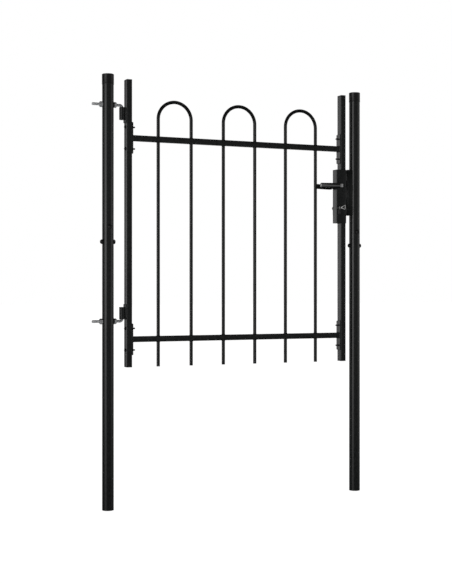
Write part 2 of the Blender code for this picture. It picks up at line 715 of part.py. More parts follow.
def build_strike(post_tube, steel, zinc):
    """A bent sheet on the latch post whose face has a slot for each of the lock's bolts."""
    half = STRIKE_WIDTH / 2
    depth = STRIKE_BACK_X - STRIKE_FACE_X
    channel = [
        (0, -half),
        (depth, -half),
        (depth, -half + STRIKE_SHEET),
        (STRIKE_SHEET, -half + STRIKE_SHEET),
        (STRIKE_SHEET, half - STRIKE_SHEET),
        (depth, half - STRIKE_SHEET),
        (depth, half),
        (0, half),
    ]
    strike = place("strike_plate", prism("strike", channel, STRIKE_BOTTOM, STRIKE_TOP), steel,
                   (STRIKE_FACE_X, 0, 0))
    slots = {
        "latch_room": (LATCH_Z - 10 * MM, LATCH_Z + 10 * MM, 8 * MM),
        "dead_bolt_room": (DEAD_BOLT_BOTTOM - 2 * MM, DEAD_BOLT_BOTTOM + DEAD_BOLT_HEIGHT + 2 * MM,
                           7 * MM),
    }
    for name, (low, high, half_width) in slots.items():
        cut(strike, prism(name, rectangle(-4 * MM, 4 * MM, -half_width, half_width), low, high),
            (STRIKE_FACE_X, 0, 0))
    for level, z in STRIKE_SCREW_HEIGHTS.items():
        hole = STRIKE_SCREW_RADIUS + GAP
        drill(strike, hole, 8 * MM, (STRIKE_FACE_X, 0, z), ALONG_X)
        drill(post_tube, hole, 12 * MM, (LATCH_POST_X - POST_RADIUS, 0, z), ALONG_X)
        domed_bolt(f"strike_{level}_screw", zinc, (STRIKE_FACE_X - GAP, 0, z), ALONG_X,
                   STRIKE_SCREW_RADIUS, 25 * MM, 4 * MM, 1.6 * MM)


def build_leaf(leaf, steel, plastic, dark_steel):
    tube_low = LEAF_BOTTOM + PLUG_FLANGE + GAP
    tube_high = LEAF_TOP - PLUG_FLANGE - GAP
    build_stile("hinge_stile", HINGE_STILE_X, tube_low, tube_high, leaf, steel)
    build_stile("latch_stile_lower", LATCH_STILE_X, tube_low, CASE_BOTTOM - GAP, leaf, steel)
    build_stile("latch_stile_upper", LATCH_STILE_X, CASE_TOP + GAP, tube_high, leaf, steel)
    for side, x in (("hinge", HINGE_STILE_X), ("latch", LATCH_STILE_X)):
        build_stile_plug(f"{side}_stile_bottom_plug", x, LEAF_BOTTOM, 1, leaf, plastic)
        build_stile_plug(f"{side}_stile_top_plug", x, LEAF_TOP, -1, leaf, plastic)
    for level in RAIL_HEIGHTS:
        build_rail(level, leaf, steel)
    build_hoops(leaf, steel)
    build_rail_bolts(leaf, dark_steel)


def build_lock(leaf, steel, dark_steel, alloy, bright):
    spindle_point = (SPINDLE_X, 0, SPINDLE_Z)
    lever_axis = axis_empty("lever_axis", spindle_point, leaf)
    latch_slide = axis_empty("latch_slide", (SPINDLE_X, 0, LATCH_Z), leaf)
    key_axis = axis_empty("key_axis", (SPINDLE_X, 0, CYLINDER_Z), leaf)
    bolt_slide = axis_empty("dead_bolt_slide", (SPINDLE_X, 0, DEAD_BOLT_BOTTOM), leaf)
    build_case(leaf, steel)
    build_follower(lever_axis, bright)
    build_follower_spring(leaf, bright)
    build_spindle(lever_axis, bright)
    build_lever("front_lever", -1, lever_axis, alloy)
    build_lever("rear_lever", 1, lever_axis, alloy)
    build_latch_bolt(latch_slide, bright)
    build_dead_bolt(bolt_slide, bright)
    build_cylinder(leaf, dark_steel)
    build_plug(key_axis, bright)
    build_key(key_axis, bright)


def main():
    clear_scene()
    steel = finish("powder_coated_steel", (0.012, 0.013, 0.013), 0.42, 0.0)
    plastic = finish("black_plastic", (0.014, 0.014, 0.014), 0.55, 0.0)
    dark_steel = finish("blackened_steel", (0.02, 0.02, 0.02), 0.4, 0.6)
    zinc = finish("zinc_plated_steel", (0.5, 0.51, 0.52), 0.35, 1.0)
    alloy = finish("satin_alloy", (0.45, 0.45, 0.45), 0.38, 1.0)
    bright = finish("nickel_plated_steel", (0.62, 0.61, 0.58), 0.25, 1.0)

    leaf = axis_empty("leaf_axis", (HINGE_AXIS_X, 0, 0))
    hinge_tubes = build_post("hinge_post", HINGE_POST_X, steel, plastic, dark_steel)
    latch_tubes = build_post("latch_post", LATCH_POST_X, steel, plastic, dark_steel)
    for level in ROD_HEIGHTS:
        build_hinge(level, hinge_tubes, leaf, steel, plastic, zinc)
    build_leaf(leaf, steel, plastic, dark_steel)
    build_lock(leaf, steel, dark_steel, alloy, bright)
    build_strike(latch_tubes["upper_tube"], steel, zinc)


main()
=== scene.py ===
"""The garden gate's looks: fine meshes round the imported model's nodes, materials, light and camera.

Metres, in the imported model's frame: +X from the hinge post to the latch post, -Y the front.
"""
from math import atan2, cos, pi, radians, sin, sqrt, tan

import bmesh
import bpy
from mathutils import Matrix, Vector


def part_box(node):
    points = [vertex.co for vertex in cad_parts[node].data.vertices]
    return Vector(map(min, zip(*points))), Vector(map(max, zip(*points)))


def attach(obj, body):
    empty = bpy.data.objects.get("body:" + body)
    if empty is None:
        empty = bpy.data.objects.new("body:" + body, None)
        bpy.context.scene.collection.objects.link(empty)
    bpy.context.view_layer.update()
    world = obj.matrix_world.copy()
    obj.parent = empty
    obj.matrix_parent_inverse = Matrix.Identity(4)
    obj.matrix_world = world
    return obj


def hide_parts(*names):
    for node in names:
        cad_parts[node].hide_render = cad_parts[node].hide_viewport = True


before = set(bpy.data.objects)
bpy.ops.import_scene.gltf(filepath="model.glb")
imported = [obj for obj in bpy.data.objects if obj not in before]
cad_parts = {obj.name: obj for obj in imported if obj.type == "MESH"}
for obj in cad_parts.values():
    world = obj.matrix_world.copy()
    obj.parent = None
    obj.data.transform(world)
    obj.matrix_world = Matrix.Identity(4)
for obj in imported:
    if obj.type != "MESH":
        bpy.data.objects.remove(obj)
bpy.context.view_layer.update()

MM = 0.001
X = Vector((1, 0, 0))
Y = Vector((0, 1, 0))
Z = Vector((0, 0, 1))


# Light: tall soft panels as (degrees left of the front, inner and outer half width, radiance)
PANELS = (
    (2, 14, 42, 0.19),
    (66, 4, 30, 2.35),
    (-68, 10, 36, 0.75),
    (148, 4, 14, 1.2),
    (-142, 10, 30, 0.8),
)
PANEL_FOOT = (-0.22, 0.04)       # height of a direction where the panels' light sets in
PANEL_TOP = (0.03, 0.42)         # and where it fades out
ROOM = 0.025                     # radiance elsewhere

# Camera: where it stands from the hinge post, its height, and how it looks
CAMERA_LEFT = 1.22713
CAMERA_FRONT = 3.82011
CAMERA_HEIGHT = 0.77297
CAMERA_TURN = -0.41224           # radians from +Y
CAMERA_LENS = 71.51
CAMERA_SHIFT = -0.01137

# Sizes that several functions share
PLATE_CORNER = 3 * MM
BARREL_RADIUS = 10 * MM
BAR_RADIUS = 6 * MM
CYLINDER_RADIUS = 8 * MM
CYLINDER_STEM = 5 * MM           # half the width of the stem below
CYLINDER_DROP = 24 * MM          # from the axis to the stem's foot
BOLT_ROOM = 0.3 * MM             # round both bolts where they leave the case


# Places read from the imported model

def low(node):
    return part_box(node)[0]


def high(node):
    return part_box(node)[1]


def middle(node):
    return (low(node) + high(node)) / 2


def extent(node):
    return high(node) - low(node)


def at(x, z):
    """A point in the gate's middle plane."""
    return Vector((x, 0, z))


# Outlines: lists of (x, y) pairs

def circle(radius, sides=64):
    return [(radius * cos(2 * pi * i / sides), radius * sin(2 * pi * i / sides)) for i in range(sides)]


def rounded_rectangle(width, depth, corner, steps=6):
    points = []
    for quarter in range(4):
        middle_x = (width / 2 - corner) * (1 if quarter in (0, 3) else -1)
        middle_y = (depth / 2 - corner) * (1 if quarter in (0, 1) else -1)
        for i in range(steps + 1):
            angle = pi / 2 * (quarter + i / steps)
            points.append((middle_x + corner * cos(angle), middle_y + corner * sin(angle)))
    return points


def in_mm(*rows):
    """Rows of numbers given in millimetres, in metres."""
    return [tuple(value * MM for value in row) for row in rows]


def filleted(corners, steps=6):
    """Rounds each (x, y, radius) corner of a closed outline with an arc."""
    points = []
    count = len(corners)
    for i, (x, y, radius) in enumerate(corners):
        here = Vector((x, y))
        before = (Vector(corners[i - 1][:2]) - here).normalized()
        after = (Vector(corners[(i + 1) % count][:2]) - here).normalized()
        half_angle = before.angle(after) / 2
        reach = radius / tan(half_angle)
        centre = here + (before + after).normalized() * radius / sin(half_angle)
        first = here + before * reach - centre
        last = here + after * reach - centre
        start = atan2(first.y, first.x)
        span = (atan2(last.y, last.x) - start + pi) % (2 * pi) - pi
        for k in range(steps + 1):
            angle = start + span * k / steps
            points.append((centre.x + radius * cos(angle), centre.y + radius * sin(angle)))
    return points


def wall_profile(inner, outer, bottom, top, edge):
    """(reach, height) round a wall from inner to outer reach, with its four corners cut off."""
    return [
        (inner + edge, bottom), (outer - edge, bottom), (outer, bottom + edge), (outer, top - edge),
        (outer - edge, top), (inner + edge, top), (inner, top - edge), (inner, bottom + edge),
    ]


def lock_profile(growth, steps=40):
    """The section of the profile cylinder, grown all round: a circle with a stem towards -Y."""
    radius = CYLINDER_RADIUS + growth
    stem, drop = CYLINDER_STEM + growth, CYLINDER_DROP + growth
    stem_angle = atan2(stem, sqrt(radius ** 2 - stem ** 2))
    points = [(stem, -drop)]
    for i in range(steps + 1):
        angle = stem_angle - pi / 2 + 2 * (pi - stem_angle) * i / steps
        points.append((radius * cos(angle), radius * sin(angle)))
    points.append((-stem, -drop))
    return points


# Meshes

def shaded(mesh, sharp=35):
    """Shades a mesh smooth, except at edges sharper than an angle in degrees."""
    mesh.shade_smooth()
    mesh.set_sharp_from_angle(angle=radians(sharp))
    return mesh


def skin(name, rings, closed=False, sharp=35):
    """Joins rings of equally many 3-D points; an open skin is capped, a closed one runs back."""
    shape = bmesh.new()
    rows = [[shape.verts.new(point) for point in ring] for ring in rings]
    pairs = list(zip(rows, rows[1:]))
    if closed:
        pairs.append((rows[-1], rows[0]))
    else:
        shape.faces.new(rows[0])
        shape.faces.new(rows[-1])
    for first, second in pairs:
        for i in range(len(first)):
            j = (i + 1) % len(first)
            shape.faces.new((first[i], first[j], second[j], second[i]))
    bmesh.ops.recalc_face_normals(shape, faces=shape.faces)
    mesh = bpy.data.meshes.new(name)
    shape.to_mesh(mesh)
    shape.free()
    return shaded(mesh, sharp)


def sideways(axis):
    """Two directions square to an axis: for Z they are X and Y, otherwise the first is level."""
    if abs(axis.z) > 0.9:
        return X, Y
    across = Z.cross(axis).normalized()
    return across, Z


def raised(outline, centre, axis, height):
    across, up = sideways(axis)
    return [centre + axis * height + across * a + up * b for a, b in outline]


def stacked(name, centre, axis, levels, closed=False, sharp=35):
    """A skin through (outline, height) levels that stand on centre along axis."""
    rings = [raised(outline, centre, axis, height) for outline, height in levels]
    return skin(name, rings, closed, sharp)


def turned(name, centre, axis, profile, sides=64, closed=False, sharp=35):
    """A solid of revolution from (radius, height) pairs; a closed profile makes a ring."""
    levels = [(circle(radius, sides), height) for radius, height in profile]
    return stacked(name, centre, axis, levels, closed, sharp)


def sweep(name, path, normal, section_at, closed=False, sharp=35):
    """Carries a section along a path that lies in the plane with the given normal.

    section_at(distance, share) gives (along the normal, across the path) pairs.
    """
    count = len(path)
    lengths = [0.0]
    for a, b in zip(path, path[1:]):
        lengths.append(lengths[-1] + (b - a).length)
    rings = []
    for i, point in enumerate(path):
        if closed:
            heading = (path[(i + 1) % count] - path[i - 1]).normalized()
        else:
            heading = (path[min(i + 1, count - 1)] - path[max(i - 1, 0)]).normalized()
        across = heading.cross(normal)
        section = section_at(lengths[i], lengths[i] / lengths[-1])
        rings.append([point + normal * a + across * b for a, b in section])
    return skin(name, rings, closed, sharp)


def joined(name, *meshes):
    """One mesh that holds several shells."""
    shape = bmesh.new()
    for mesh in meshes:
        shape.from_mesh(mesh)
    made = bpy.data.meshes.new(name)
    shape.to_mesh(made)
    shape.free()
    return made


def line(start, end, steps):
    return [start.lerp(end, i / steps) for i in range(steps + 1)]


def arc(centre, first_axis, second_axis, radius, start, end, steps):
    points = []
    for i in range(steps + 1):
        angle = start + (end - start) * i / steps
        points.append(centre + first_axis * radius * cos(angle) + second_axis * radius * sin(angle))
    return points


def linked(name, data):
    """A new object in the scene."""
    made = bpy.data.objects.new(name, data)
    bpy.context.scene.collection.objects.link(made)
    return made


def carve(name, mesh, cutters, bevel=0.0):
    """Cuts shapes out of a mesh and softens the edges that are left."""
    body = linked(name + "_blank", mesh)
    tools = [linked(name + "_tool", cutter) for cutter in cutters]
    for tool in tools:
        step = body.modifiers.new("cut", "BOOLEAN")
        step.operation = "DIFFERENCE"
        step.solver = "EXACT"
        step.object = tool
    if bevel:
        edge = body.modifiers.new("edge", "BEVEL")
        edge.width = bevel
        edge.segments = 2
        edge.limit_method = "ANGLE"
        edge.angle_limit = radians(40)
    graph = bpy.context.evaluated_depsgraph_get()
    made = bpy.data.meshes.new_from_object(body.evaluated_get(graph))
    made.name = name
    for helper in [*tools, body]:
        bpy.data.objects.remove(helper, do_unlink=True)
    return shaded(made)


# Pieces

def piece(name, mesh, finish, body, *nodes):
    """Puts a mesh in the scene on a body, with the finish of a material slot, for CAD nodes."""
    made = linked(name, mesh)
    mesh.materials.clear()
    mesh.materials.append(FINISHES[finish])
    for face in mesh.polygons:
        face.material_index = 0
    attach(made, body)
    if nodes:
        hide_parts(*nodes)


def look(node, mesh, finish, body):
    """The piece that stands in for one CAD node."""
    piece(f"{node}_look", mesh, finish, body, node)


# Materials

def shader_node(tree, kind, values=None, **settings):
    made = tree.nodes.new(kind)
    for setting, value in settings.items():
        setattr(made, setting, value)
    for socket, value in (values or {}).items():
        made.inputs[socket].default_value = value
    return made


def principled(name, metallic=0.0):
    made = bpy.data.materials.new(name)
    made.use_nodes = True
    tree = made.node_tree
    shader = tree.nodes["Principled BSDF"]
    shader.inputs["Metallic"].default_value = metallic
    return made, tree, shader


def ramp(tree, source, low_value, high_value, low_out, high_out, kind="LINEAR"):
    made = shader_node(tree, "ShaderNodeMapRange", {
        "From Min": low_value, "From Max": high_value, "To Min": low_out, "To Max": high_out},
        interpolation_type=kind)
    tree.links.new(source, made.inputs["Value"])
    return made.outputs["Result"]


def maths(tree, operation, first, second):
    made = shader_node(tree, "ShaderNodeMath", operation=operation)
    for socket, value in enumerate((first, second)):
        if isinstance(value, (int, float)):
            made.inputs[socket].default_value = value
        else:
            tree.links.new(value, made.inputs[socket])
    return made.outputs["Value"]


def noise(tree, scale, detail=3.0, stretch=None):
    coordinates = shader_node(tree, "ShaderNodeTexCoord")
    made = shader_node(tree, "ShaderNodeTexNoise", {"Scale": scale, "Detail": detail})
    source = coordinates.outputs["Object"]
    if stretch:
        mapping = shader_node(tree, "ShaderNodeMapping", {"Scale": stretch})
        tree.links.new(source, mapping.inputs["Vector"])
        source = mapping.outputs["Vector"]
    tree.links.new(source, made.inputs["Vector"])
    return made.outputs["Fac"]


def blend_colours(tree, share, first, second):
    made = shader_node(tree, "ShaderNodeMix", data_type="RGBA")
    for socket, colour in ((6, first), (7, second)):
        if isinstance(colour, tuple):
            made.inputs[socket].default_value = (*colour, 1)
        else:
            tree.links.new(colour, made.inputs[socket])
    tree.links.new(share, made.inputs[0])
    return made.outputs[2]


def dress(tree, shader, colour, gloss, layers):
    """Gives a shader its colour, its roughness and bumps: (height source, strength, distance)."""
    tree.links.new(colour, shader.inputs["Base Color"])
    tree.links.new(gloss, shader.inputs["Roughness"])
    normal = None
    for height, strength, distance in layers:
        made = shader_node(tree, "ShaderNodeBump", {"Strength": strength, "Distance": distance})
        tree.links.new(height, made.inputs["Height"])
        if normal:
            tree.links.new(normal, made.inputs["Normal"])
        normal = made.outputs["Normal"]
    tree.links.new(normal, shader.inputs["Normal"])


def edge_share(tree, low_value, high_value):
    """1 on convex edges and 0 on flats, broken up by noise."""
    geometry = shader_node(tree, "ShaderNodeNewGeometry")
    edge = ramp(tree, geometry.outputs["Pointiness"], low_value, high_value, 0.0, 1.0)
    patches = ramp(tree, noise(tree, 160.0, 4.0), 0.42, 0.62, 0.0, 1.0)
    return maths(tree, "MULTIPLY", edge, patches)


def dust_share(tree, amount):
    """Dust that lies on what faces up, in uneven patches."""
    geometry = shader_node(tree, "ShaderNodeNewGeometry")
    split = shader_node(tree, "ShaderNodeSeparateXYZ")
    tree.links.new(geometry.outputs["Normal"], split.inputs["Vector"])
    facing = ramp(tree, split.outputs["Z"], 0.55, 1.0, 0.0, amount)
    patches = ramp(tree, noise(tree, 60.0, 5.0), 0.35, 0.7, 0.3, 1.0)
    return maths(tree, "MULTIPLY", facing, patches)


def powder_coat(name):
    """Satin black powder coat: orange peel, faint dust on top faces, thin worn edges."""
    made, tree, shader = principled(name)
    coat = blend_colours(tree, noise(tree, 35.0), (0.0045, 0.0052, 0.0050), (0.0065, 0.0072, 0.0070))
    worn = blend_colours(tree, edge_share(tree, 0.52, 0.60), coat, (0.014, 0.015, 0.015))
    dusty = blend_colours(tree, dust_share(tree, 0.10), worn, (0.17, 0.165, 0.15))
    gloss = ramp(tree, noise(tree, 210.0, 4.0), 0.3, 0.7, 0.19, 0.26)
    orange_peel = (noise(tree, 900.0, 2.0), 0.12, 0.00004)
    grain = (noise(tree, 3200.0, 1.0), 0.08, 0.00001)
    dress(tree, shader, dusty, gloss, [orange_peel, grain])
    return made


def black_plastic(name):
    """Matt moulded plastic with a fine grain."""
    made, tree, shader = principled(name)
    colour = blend_colours(tree, noise(tree, 50.0), (0.006, 0.006, 0.006), (0.009, 0.009, 0.009))
    worn = blend_colours(tree, edge_share(tree, 0.52, 0.62), colour, (0.04, 0.04, 0.04))
    gloss = ramp(tree, noise(tree, 300.0), 0.3, 0.7, 0.24, 0.34)
    dress(tree, shader, worn, gloss, [(noise(tree, 2600.0, 2.0), 0.2, 0.00001)])
    return made


def dark_fastener(name):
    """Blackened steel with rubbed crowns."""
    made, tree, shader = principled(name)
    colour = blend_colours(tree, noise(tree, 220.0), (0.008, 0.008, 0.008), (0.014, 0.014, 0.014))
    rubbed = blend_colours(tree, edge_share(tree, 0.54, 0.66), colour, (0.05, 0.05, 0.05))
    gloss = ramp(tree, noise(tree, 500.0), 0.3, 0.7, 0.34, 0.46)
    dress(tree, shader, rubbed, gloss, [(noise(tree, 1500.0, 2.0), 0.25, 0.00004)])
    return made


def zinc(name):
    """Zinc plating: cool grey, with dull and bright patches."""
    made, tree, shader = principled(name, 0.65)
    patches = ramp(tree, noise(tree, 260.0, 5.0), 0.35, 0.65, 0.0, 1.0)
    colour = blend_colours(tree, patches, (0.50, 0.51, 0.52), (0.66, 0.67, 0.68))
    gloss = ramp(tree, patches, 0.0, 1.0, 0.42, 0.26)
    dress(tree, shader, colour, gloss, [(noise(tree, 1800.0, 3.0), 0.3, 0.00003)])
    return made


def satin_alloy(name):
    """Cast alloy, brushed along its length and then lacquered."""
    made, tree, shader = principled(name, 1.0)
    brushing = noise(tree, 90.0, 6.0, (1.0, 26.0, 26.0))
    colour = blend_colours(tree, brushing, (0.31, 0.31, 0.31), (0.41, 0.41, 0.405))
    gloss = ramp(tree, brushing, 0.3, 0.7, 0.15, 0.24)
    dress(tree, shader, colour, gloss, [(brushing, 0.12, 0.00002), (noise(tree, 700.0), 0.08, 0.00003)])
    return made


def bright_steel(name):
    """Nickel-plated steel with fine scratches."""
    made, tree, shader = principled(name, 1.0)
    scratches = noise(tree, 220.0, 6.0, (1.0, 1.0, 14.0))
    colour = blend_colours(tree, scratches, (0.56, 0.56, 0.55), (0.70, 0.70, 0.69))
    gloss = ramp(tree, scratches, 0.3, 0.7, 0.17, 0.31)
    dress(tree, shader, colour, gloss, [(scratches, 0.15, 0.00002)])
    return made


MATERIALS = (powder_coat, black_plastic, dark_fastener, zinc, satin_alloy, bright_steel)
FINISHES = {make.__name__: make(f"{make.__name__}_look") for make in MATERIALS}


# Fasteners

def thread_radius(radius, pitch, depth, height, angle):
    """Radius of a helical thread at a height and an angle round its axis."""
    turn = (height / pitch - angle / (2 * pi)) % 1.0
    return radius - depth * abs(2 * turn - 1)


def threaded_end(name, start, axis, radius, length, pitch=1.0 * MM, sides=24):
    """A length of thread with a chamfered tip; it starts inside a head or a nut."""
    depth = 0.45 * pitch
    chamfer = 1.2 * MM
    steps = max(8, int(length / pitch * 6))
    levels = []
    for i in range(steps + 1):
        height = length * i / steps
        tip = max(0.0, 1 - (length - height) / chamfer)
        outline = []
        for k in range(sides):
            angle = 2 * pi * k / sides
            reach = thread_radius(radius, pitch, depth, height, angle) - tip * 1.1 * depth
            outline.append((reach * cos(angle), reach * sin(angle)))
        levels.append((outline, height))
    return stacked(name, start, axis, levels, sharp=50)


def hex_nut(name, seat, axis, flats, height, bore, sides=72):
    """A hexagon nut with 30 degree chamfers on both faces and a chamfered bore."""
    inner = flats / 2 * 0.97
    lead = 0.5 * MM
    across, up = sideways(axis)

    def ring(radius, level):
        return raised(circle(radius, sides), seat, axis, level)

    def hexagon(level, sign):
        points = []
        for i in range(sides):
            angle = 2 * pi * i / sides
            reach = flats / 2 / cos((angle + pi / 6) % (pi / 3) - pi / 6)
            drop = (reach - inner) * tan(radians(30))
            points.append(seat + across * reach * cos(angle) + up * reach * sin(angle)
                          + axis * (level + sign * drop))
        return points

    rings = [
        ring(bore + lead, 0), ring(inner, 0), hexagon(0, 1),
        hexagon(height, -1), ring(inner, height), ring(bore + lead, height),
        ring(bore, height - lead), ring(bore, lead),
    ]
    return skin(name, rings, closed=True, sharp=20)


def domed_head(name, seat, axis, radius, height):
    """A mushroom head whose rim stands on its seat; axis points from the seat to the crown."""
    rim = 0.9 * MM
    softening = 0.3 * MM
    profile = [(radius - softening, 0), (radius, softening), (radius, rim)]
    for i in range(1, 13):
        angle = pi / 2 * i / 12
        profile.append((max(radius * cos(angle), 0.02 * MM), rim + (height - rim) * sin(angle)))
    return turned(name, seat, axis, profile, 48)


def build_joint_bolts():
    """Two crossed bolts and nuts in each post, on either side of the tubes' joint."""
    for post in ("hinge_post", "latch_post"):
        for level, axis in (("lower", -X), ("upper", -Y)):
            build_joint_bolt(post, f"{post}_{level}_bolt", f"{post}_{level}_nut", axis)


def build_joint_bolt(post, bolt, nut, axis):
    """A domed bolt through a post, its washer and its nut; axis points at the head."""
    shank_radius = 3 * MM
    washer_thick = 1.3 * MM
    centre = middle(f"{post}_sleeve")
    centre.z = middle(bolt).z
    head_reach = abs((low(bolt) - centre).dot(axis))
    tail_reach = abs((high(bolt) - centre).dot(axis))
    near = abs((low(nut) - centre).dot(axis))
    far = abs((high(nut) - centre).dot(axis))
    head = domed_head("head", centre + axis * near, axis, 8 * MM, head_reach - near)
    shank = turned("shank", centre - axis * far * 0.9, axis,
                   [(shank_radius, 0), (shank_radius, far + near * 0.9)], 24)
    tail = threaded_end("tail", centre - axis * near, -axis, shank_radius, tail_reach - near)
    look(bolt, joined(bolt, head, shank, tail), "dark_fastener", "posts")
    washer = turned("washer", centre - axis * near, -axis,
                    in_mm((3.3, 0), (8.2, 0), (8.2, 1.0), (7.9, 1.3), (3.3, 1.3)), 48, closed=True)
    body = hex_nut("nut", centre - axis * (near + washer_thick), -axis, 13 * MM,
                   far - near - washer_thick, 3.1 * MM)
    look(nut, joined(nut, washer, body), "dark_fastener", "posts")


# Posts

def build_posts():
    for post in ("hinge_post", "latch_post"):
        build_post_tube(f"{post}_lower_tube")
        build_post_tube(f"{post}_upper_tube")
        build_post_cap(f"{post}_cap")


def post_foot(node):
    """The ground point under a round piece of a post."""
    centre = middle(node)
    return Vector((centre.x, centre.y, 0))


def build_post_tube(node):
    """A round tube whose cut ends are lightly dressed."""
    outer = extent(node).x / 2
    wall, dressing = 1.5 * MM, 0.25 * MM
    profile = wall_profile(outer - wall, outer, low(node).z, high(node).z, dressing)
    mesh = turned(node, post_foot(node), Z, profile, 96, closed=True)
    look(node, mesh, "powder_coat", "posts")


def build_post_cap(node):
    """A moulded slip-on cap: a lipped skirt, a rounded shoulder and a slightly crowned top."""
    bottom, top = low(node).z, high(node).z
    outer = extent(node).x / 2
    inner = outer - 0.75 * MM
    side = outer - 0.3 * MM
    shoulder = 1.3 * MM
    crown = 0.35 * MM
    edge_z = top - crown - shoulder
    profile = [
        (inner, bottom), (outer - 0.2 * MM, bottom), (outer, bottom + 0.3 * MM),
        (outer, bottom + 1.6 * MM), (outer - 0.25 * MM, bottom + 2.0 * MM),
        (side, bottom + 2.5 * MM), (side, edge_z - 0.7 * MM),
    ]
    for i in range(9):
        angle = pi / 2 * i / 8
        profile.append((side - shoulder + shoulder * cos(angle), edge_z + shoulder * sin(angle)))
    tip = 0.3 * MM
    for i in range(1, 7):
        share = i / 6
        profile.append(((side - shoulder) * (1 - share) + tip * share,
                        top - crown + crown * sin(share * pi / 2)))
    under = top - 2.5 * MM
    profile += [(tip, under), (inner, under)]
    look(node, turned(node, post_foot(node), Z, profile, 96, closed=True), "black_plastic", "posts")


# Hinges

def build_hinges():
    for level, up in (("lower", 1), ("upper", -1)):
        build_hinge_bolt(level, up)
        build_hinge_nut(f"{level}_hinge_outer_nut", -X)
        build_hinge_nut(f"{level}_hinge_inner_nut", X)
        build_spacer(f"{level}_hinge_spacer")
        build_barrel(f"{level}_hinge_barrel", up)


def build_hinge_bolt(level, up):
    """An L-shaped rod: threaded along the post's bolt hole, bent, and plain along its pin."""
    node = f"{level}_hinge_bolt"
    rod_z = middle(f"{level}_hinge_inner_nut").z
    pin_x = low(f"{level}_hinge_barrel").x + BARREL_RADIUS
    radius = 4.8 * MM
    pitch, depth = 1.5 * MM, 0.55 * MM
    bend = 8.5 * MM
    thread_start = low(node).x
    thread_end = pin_x - 12 * MM
    thread_length = thread_end - thread_start
    tip_z = high(node).z if up > 0 else low(node).z

    path = line(at(thread_start, rod_z), at(thread_end, rod_z), int(thread_length / pitch * 4))
    path += line(at(thread_end + 0.6 * MM, rod_z), at(pin_x - bend, rod_z), 2)
    path += arc(at(pin_x - bend, rod_z + up * bend), -Z * up, X, bend, 0, pi / 2, 14)[1:]
    path += line(at(pin_x, rod_z + up * (bend + 1 * MM)), at(pin_x, tip_z), 10)

    def section(distance, share):
        outline = []
        for k in range(28):
            angle = 2 * pi * k / 28
            reach = radius
            if distance <= thread_length:
                reach = thread_radius(radius, pitch, depth, distance, angle)
                reach -= max(0.0, 1 - distance / pitch) * 1.2 * depth
            if share > 0.995:
                reach -= 0.5 * MM
            outline.append((reach * cos(angle), reach * sin(angle)))
        return outline

    look(node, sweep(node, path, Y, section, sharp=50), "zinc", "posts")


def build_hinge_nut(node, axis):
    near = low(node) if axis.x > 0 else high(node)
    seat = at(near.x, middle(node).z)
    size = extent(node)
    look(node, hex_nut(node, seat, axis, size.y, size.x, 4.7 * MM), "zinc", "posts")


def build_spacer(node):
    """A moulded spacer whose back follows the round post."""
    face_x = high(node).x
    post_x = middle("hinge_post_lower_tube").x
    hug = 20.3 * MM
    radius = extent(node).y / 2
    bore = 5.0 * MM
    edge = 0.6 * MM
    height = middle(node).z

    def ring(reach, back):
        points = []
        for a, b in circle(reach, 48):
            x = post_x + sqrt(hug ** 2 - a ** 2) if back else face_x
            points.append(Vector((x, a, height + b)))
        return points

    rings = [ring(bore, False), ring(radius - edge, False)]
    rings.append([point - X * edge for point in ring(radius, False)])
    rings += [ring(radius, True), ring(bore, True)]
    look(node, skin(node, rings, closed=True), "black_plastic", "posts")


def bead(path, normal, radius, closed=False):
    """A weld bead: a rippled half-sunk cord of metal along a path."""
    ripple = 2.2 * MM
    unevenness = 730.0

    def section(distance, share):
        swell = 1 + 0.10 * sin(2 * pi * distance / ripple) + 0.06 * sin(distance * unevenness)
        end = 1.0 if closed else min(1.0, 0.35 + 12 * min(share, 1 - share))
        return circle(radius * swell * end, 10)

    return sweep("bead", path, normal, section, closed, sharp=60)


def build_barrel(node, up):
    """A turned barrel, its plate with rounded corners, and the welds that join them."""
    plate_low, plate_high = low(node).z, high(node).z
    plate_face = high(node).x
    thickness = 3 * MM
    tail = 10 * MM
    bottom = plate_low + (tail if up < 0 else 0)
    top = plate_high - (tail if up > 0 else 0)
    bore, chamfer = 5.05 * MM, 0.7 * MM
    profile = wall_profile(bore, BARREL_RADIUS, bottom, top, chamfer)
    axis_foot = at(low(node).x + BARREL_RADIUS, 0)
    barrel = turned("barrel", axis_foot, Z, profile, 64, closed=True)
    width = extent(node).y
    plate = slab("plate", at(plate_face - thickness, middle(node).z), X,
                 width, plate_high - plate_low, PLATE_CORNER, thickness, 0.4 * MM)
    welds = []
    for side in (-1, 1):
        seams = (
            (plate_face - thickness, 6.4 * MM, bottom + 2 * MM, top - 2 * MM, 1.9 * MM),
            (plate_face - 0.6 * MM, width / 2, plate_low + 4 * MM, plate_high - 4 * MM, 1.3 * MM),
        )
        for x, y, start_z, end_z, radius in seams:
            path = line(Vector((x, side * y, start_z)), Vector((x, side * y, end_z)), 60)
            welds.append(bead(path, Y, radius))
    look(node, joined(node, barrel, plate, *welds), "powder_coat", "leaf")


def slab(name, face_centre, axis, width, height, corner, thickness, edge):
    """A plate with rounded corners and softened edges that grows along axis from its face."""
    full = rounded_rectangle(width, height, corner)
    inset = rounded_rectangle(width - 2 * edge, height - 2 * edge, corner - edge)
    levels = [(inset, 0), (full, edge), (full, thickness - edge), (inset, thickness)]
    return stacked(name, face_centre, axis, levels)


# Leaf frame

def build_leaf_frame():
    for node in ("hinge_stile", "latch_stile_lower", "latch_stile_upper"):
        build_stile(node)
    for side in ("hinge", "latch"):
        build_stile_plug(f"{side}_stile_bottom_plug", -1)
        build_stile_plug(f"{side}_stile_top_plug", 1)
    for level in ("lower", "upper"):
        build_rail(f"{level}_rail")
    for number in (1, 2, 3):
        build_hoop(f"hoop_{number}")
    build_rail_bolts()


